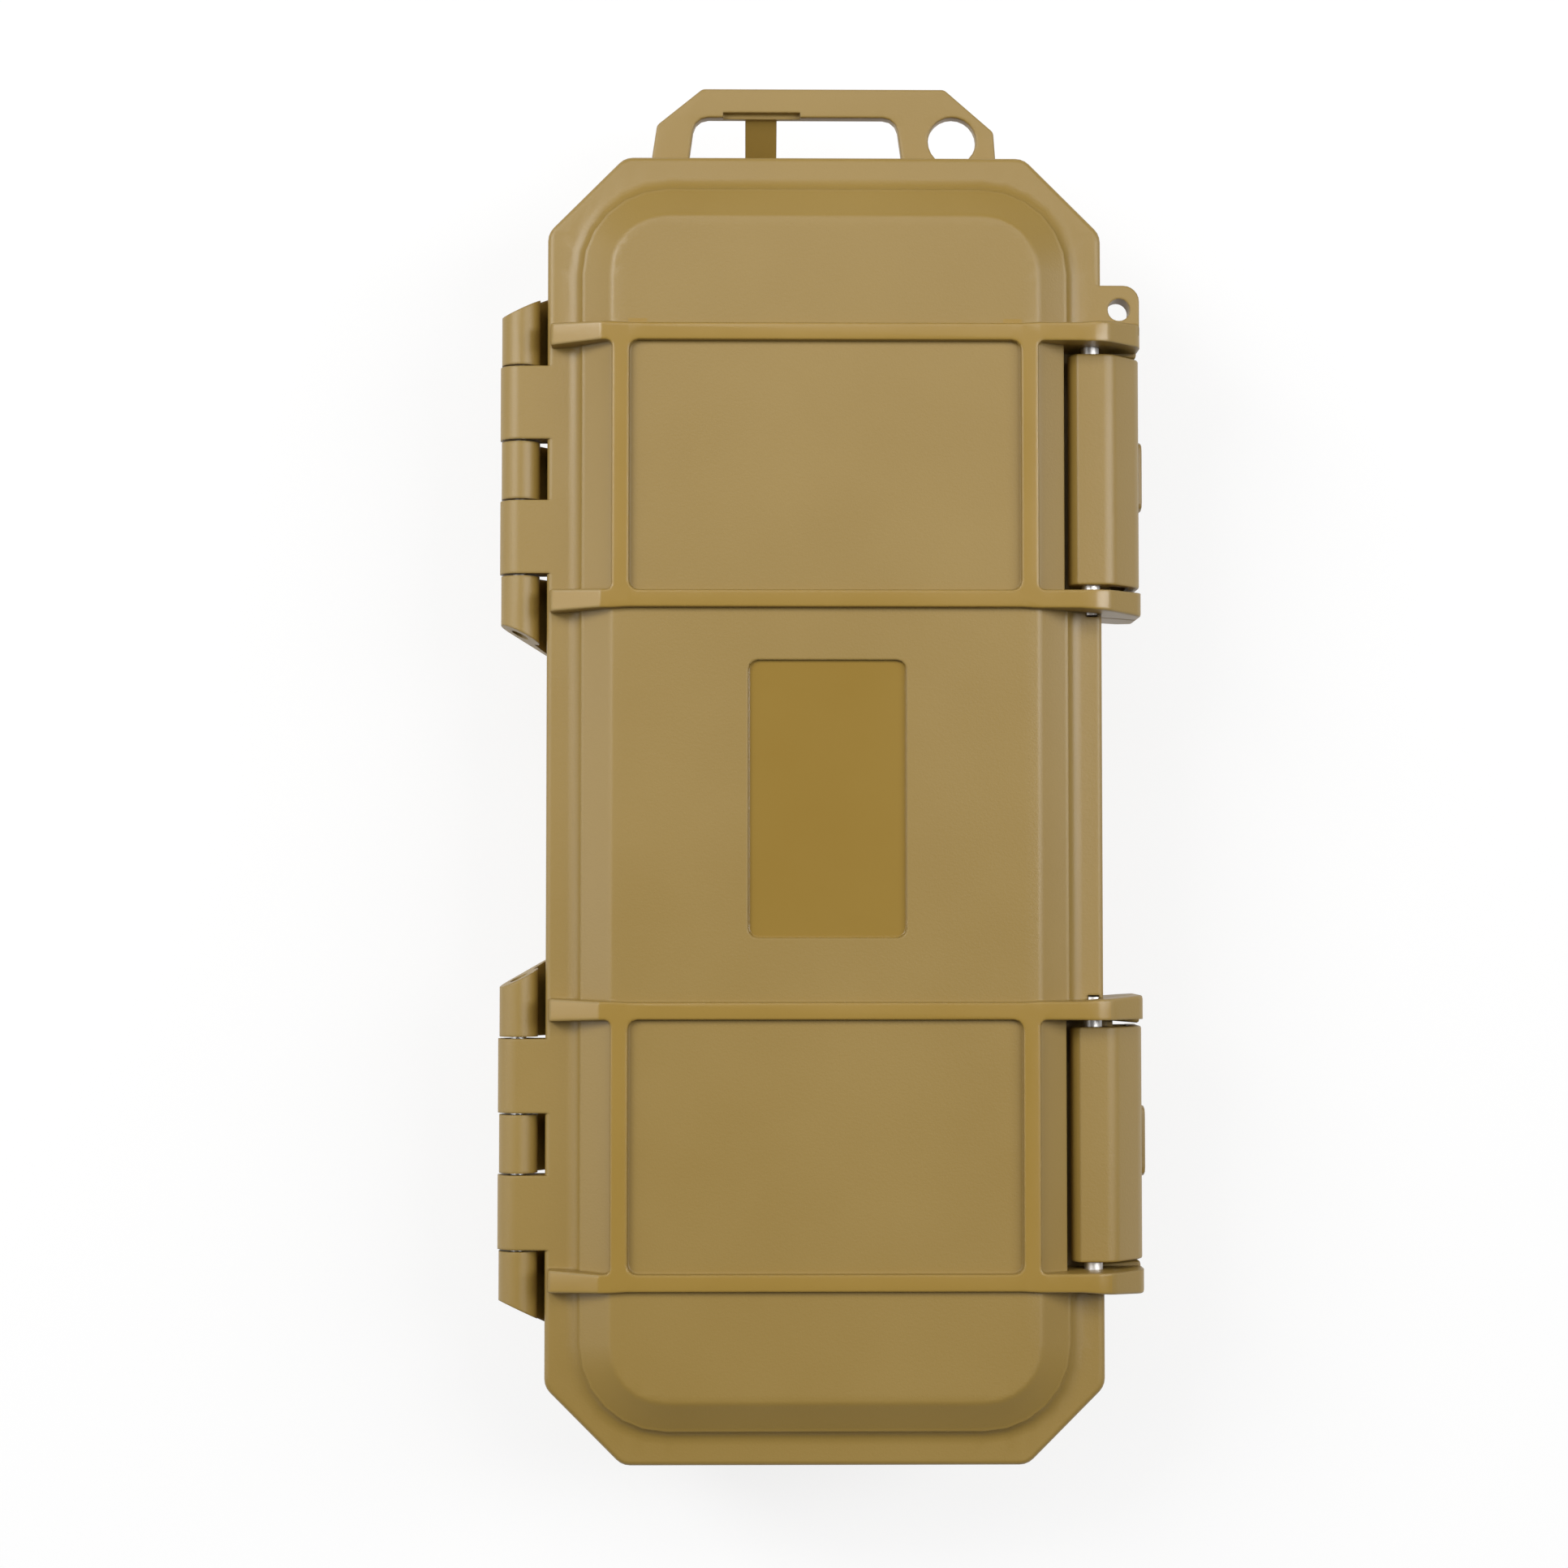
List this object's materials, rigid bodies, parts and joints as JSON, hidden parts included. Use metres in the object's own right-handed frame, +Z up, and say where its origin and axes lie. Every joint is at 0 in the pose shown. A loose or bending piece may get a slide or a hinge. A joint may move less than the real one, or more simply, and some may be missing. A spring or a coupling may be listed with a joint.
{
  "type": "waterproof hard case",
  "caption": "Slim sealed hard case: a shallow lid on pinned hinges closes over a deep padded base, held by swinging latches, with a carry handle at one end",
  "frame": {"origin": "centre of the whole footprint, on the surface that the case lies on", "axes": "+Z up through the lid, +Y towards the carry handle, +X towards the latches, -X towards the hinges"},
  "size_m": [0.1012, 0.2158, 0.042],
  "materials": {
    "shell_plastic": "fine satin moulded texture",
    "latch_plastic": "smooth satin",
    "pin_steel": "drawn bright bar",
    "seal_rubber": "matt",
    "pad_foam": "closed-cell foam"
  },
  "bodies": {
    "base": {"base_shell": "shell_plastic", "base_foam": "pad_foam", "hinge_pin_upper": "pin_steel", "hinge_pin_lower": "pin_steel"},
    "lid": {"lid_shell": "shell_plastic", "lid_foam": "pad_foam", "lid_seal": "seal_rubber", "latch_pin_upper": "pin_steel", "latch_pin_lower": "pin_steel"},
    "latch_upper": {"latch_upper": "latch_plastic"},
    "latch_lower": {"latch_lower": "latch_plastic"}
  },
  "joints": [
    {"name": "lid_hinge", "type": "hinge", "parent": "base", "child": "lid", "pos_m": [-0.0474, -0.0062, 0.033], "axis": [0, -1, 0], "range_deg": [0, 180]},
    {"name": "latch_upper_hinge", "type": "hinge", "parent": "lid", "child": "latch_upper", "pos_m": [0.0418, 0.0462, 0.0349], "axis": [0, -1, 0], "range_deg": [0, 110]},
    {"name": "latch_lower_hinge", "type": "hinge", "parent": "lid", "child": "latch_lower", "pos_m": [0.0418, -0.0586, 0.0349], "axis": [0, -1, 0], "range_deg": [0, 110]}
  ]
}
